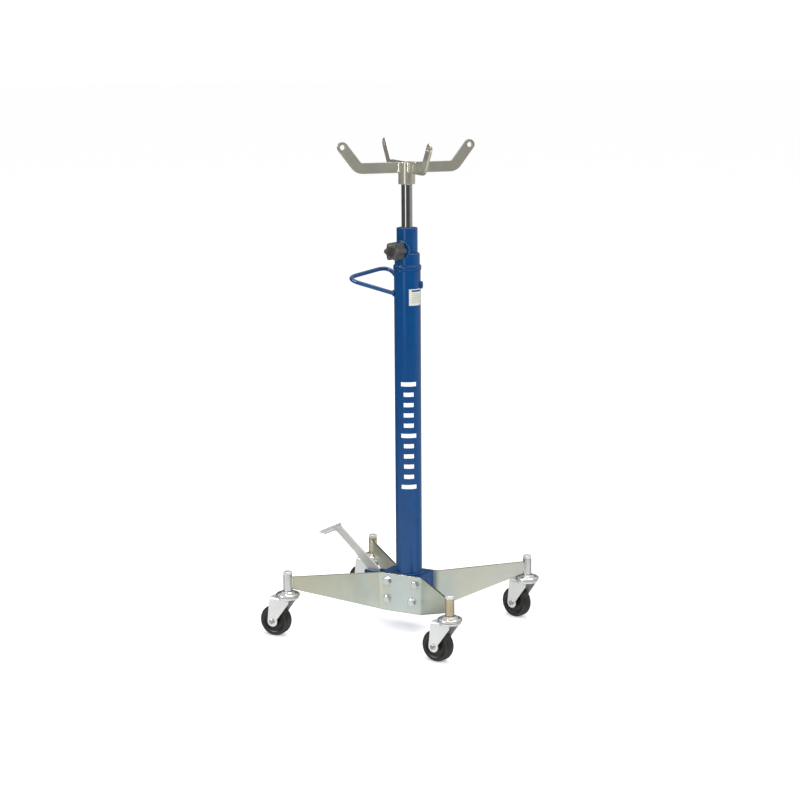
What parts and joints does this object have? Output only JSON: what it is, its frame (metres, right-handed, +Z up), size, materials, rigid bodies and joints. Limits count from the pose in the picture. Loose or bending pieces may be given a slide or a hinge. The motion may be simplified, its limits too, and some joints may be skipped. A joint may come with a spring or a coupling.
{
  "type": "transmission jack",
  "caption": "Foot-pumped hydraulic column jack on a wheeled base, with a rising chromed ram, a swivelling four-arm saddle, a release knob and a push handle.",
  "frame": {"origin": "centre of the footprint of the whole jack at floor level, at rest", "axes": "+Z up along the column, +X along the two leg plates away from the pedal, +Y from the front plate to the rear plate"},
  "size_m": [0.542, 0.4672, 1.1827],
  "materials": {
    "zinc_plate": "passivated zinc plate, satin with a faint green-yellow bloom",
    "bright_zinc": "bright zinc plate",
    "yellow_zinc": "yellow zinc plate",
    "saddle_steel": "dull olive zinc plate",
    "blue_paint": "blue gloss enamel",
    "chrome": "hard chrome, polished",
    "steel": "plain turned steel",
    "knob_black": "black moulded plastic",
    "wheel_black": "black moulded wheel, satin",
    "seal_rubber": "black seal rubber"
  },
  "bodies": {
    "frame": {"front_leg_plate": "zinc_plate", "rear_leg_plate": "zinc_plate", "front_leg_bolt_1": "bright_zinc", "front_leg_bolt_2": "bright_zinc", "front_leg_bolt_3": "bright_zinc", "front_leg_bolt_4": "bright_zinc", "rear_leg_bolt_1": "bright_zinc", "rear_leg_bolt_2": "bright_zinc", "rear_leg_bolt_3": "bright_zinc", "rear_leg_bolt_4": "bright_zinc", "front_left_caster_post": "yellow_zinc", "front_left_caster_stem": "bright_zinc", "front_left_caster_raceway": "bright_zinc", "front_right_caster_post": "yellow_zinc", "front_right_caster_stem": "bright_zinc", "front_right_caster_raceway": "bright_zinc", "rear_right_caster_post": "yellow_zinc", "rear_right_caster_stem": "bright_zinc", "rear_right_caster_raceway": "bright_zinc", "rear_left_caster_post": "yellow_zinc", "rear_left_caster_stem": "bright_zinc", "rear_left_caster_raceway": "bright_zinc", "pump_block": "blue_paint", "pump_return_spring": "steel", "pedal_pivot_pin": "steel", "reservoir_tube": "blue_paint", "pressure_cylinder": "steel", "reservoir_cap": "blue_paint", "valve_collar": "blue_paint", "gland_head": "blue_paint", "rod_wiper": "seal_rubber", "push_handle": "blue_paint", "filler_plug": "blue_paint"},
    "ram": {"ram_rod": "chrome", "ram_guide": "steel"},
    "saddle": {"saddle_hub": "saddle_steel", "saddle_arm_right": "saddle_steel", "saddle_arm_rear": "saddle_steel", "saddle_arm_left": "saddle_steel", "saddle_arm_front": "saddle_steel"},
    "release_valve": {"release_knob": "knob_black", "release_spindle": "steel"},
    "pedal": {"pump_pedal": "bright_zinc", "pedal_foot_tray": "bright_zinc"},
    "plunger": {"pump_plunger": "chrome"},
    "front_left_swivel": {"front_left_caster_fork": "bright_zinc", "front_left_caster_axle": "steel"},
    "front_left_wheel": {"front_left_caster_wheel": "wheel_black"},
    "front_right_swivel": {"front_right_caster_fork": "bright_zinc", "front_right_caster_axle": "steel"},
    "front_right_wheel": {"front_right_caster_wheel": "wheel_black"},
    "rear_right_swivel": {"rear_right_caster_fork": "bright_zinc", "rear_right_caster_axle": "steel"},
    "rear_right_wheel": {"rear_right_caster_wheel": "wheel_black"},
    "rear_left_swivel": {"rear_left_caster_fork": "bright_zinc", "rear_left_caster_axle": "steel"},
    "rear_left_wheel": {"rear_left_caster_wheel": "wheel_black"}
  },
  "joints": [
    {"name": "ram_lift", "type": "slide", "parent": "frame", "child": "ram", "axis": [0, 0, 1], "range_m": [-0.096, 0.605]},
    {"name": "saddle_turn", "type": "hinge", "parent": "ram", "child": "saddle", "pos_m": [0.02123, -0.00215, 1.1], "axis": [0, 0, 1], "continuous": true},
    {"name": "release_turn", "type": "hinge", "parent": "frame", "child": "release_valve", "pos_m": [0.01739, -0.05702, 0.927], "axis": [-0.0698, -0.9976, 0], "range_deg": [0, 330]},
    {"name": "pedal_stroke", "type": "hinge", "parent": "frame", "child": "pedal", "pos_m": [-0.07677, -0.00215, 0.117], "axis": [0, -1, 0], "range_deg": [0, 28], "stiffness_Nm_per_rad": 1.2, "springref_deg": -34.38, "deforming": ["pump_return_spring"]},
    {"name": "plunger_stroke", "type": "slide", "parent": "frame", "child": "plunger", "axis": [1, 0, 0], "range_m": [0, 0.0118], "deforming": ["pump_return_spring"]},
    {"name": "front_left_swivel", "type": "hinge", "parent": "frame", "child": "front_left_swivel", "pos_m": [-0.19957, -0.20455, 0.096], "axis": [0, 0, 1], "continuous": true},
    {"name": "front_left_roll", "type": "hinge", "parent": "front_left_swivel", "child": "front_left_wheel", "pos_m": [-0.23289, -0.20688, 0.0375], "axis": [0.0698, -0.9976, 0], "continuous": true},
    {"name": "front_right_swivel", "type": "hinge", "parent": "frame", "child": "front_right_swivel", "pos_m": [0.24203, -0.20455, 0.096], "axis": [0, 0, 1], "continuous": true},
    {"name": "front_right_roll", "type": "hinge", "parent": "front_right_swivel", "child": "front_right_wheel", "pos_m": [0.20884, -0.20077, 0.0375], "axis": [-0.1132, -0.9936, 0], "continuous": true},
    {"name": "rear_right_swivel", "type": "hinge", "parent": "frame", "child": "rear_right_swivel", "pos_m": [0.24203, 0.20025, 0.096], "axis": [0, 0, 1], "continuous": true},
    {"name": "rear_right_roll", "type": "hinge", "parent": "rear_right_swivel", "child": "rear_right_wheel", "pos_m": [0.20962, 0.20833, 0.0375], "axis": [-0.2419, -0.9703, 0], "continuous": true},
    {"name": "rear_left_swivel", "type": "hinge", "parent": "frame", "child": "rear_left_swivel", "pos_m": [-0.19957, 0.20025, 0.096], "axis": [0, 0, 1], "continuous": true},
    {"name": "rear_left_roll", "type": "hinge", "parent": "rear_left_swivel", "child": "rear_left_wheel", "pos_m": [-0.23279, 0.20374, 0.0375], "axis": [-0.1045, -0.9945, 0], "continuous": true}
  ],
  "couplings": [
    {"joint": "plunger_stroke", "follows": "pedal_stroke", "m_per_rad": 0.024}
  ]
}
